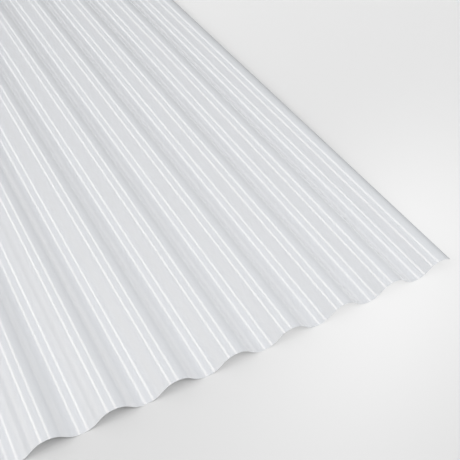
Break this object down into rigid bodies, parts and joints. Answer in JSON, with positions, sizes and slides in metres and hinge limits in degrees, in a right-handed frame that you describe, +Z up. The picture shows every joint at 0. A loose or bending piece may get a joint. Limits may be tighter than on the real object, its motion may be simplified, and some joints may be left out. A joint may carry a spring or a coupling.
{
  "type": "corrugated metal sheet",
  "caption": "Flat-lying sheet of thin coated steel rolled into round parallel waves, with square-cut ends and plain side laps.",
  "frame": {"origin": "on the ground under the middle of the sheet, at the underside of the middle trough", "axes": "+X across the waves, +Y along them, +Z up out of the face that shows in the picture"},
  "size_m": [0.8684, 2, 0.0179],
  "materials": {
    "coated_steel": "gloss"
  },
  "bodies": {
    "root": {"corrugated_sheet": "coated_steel"}
  },
  "joints": []
}
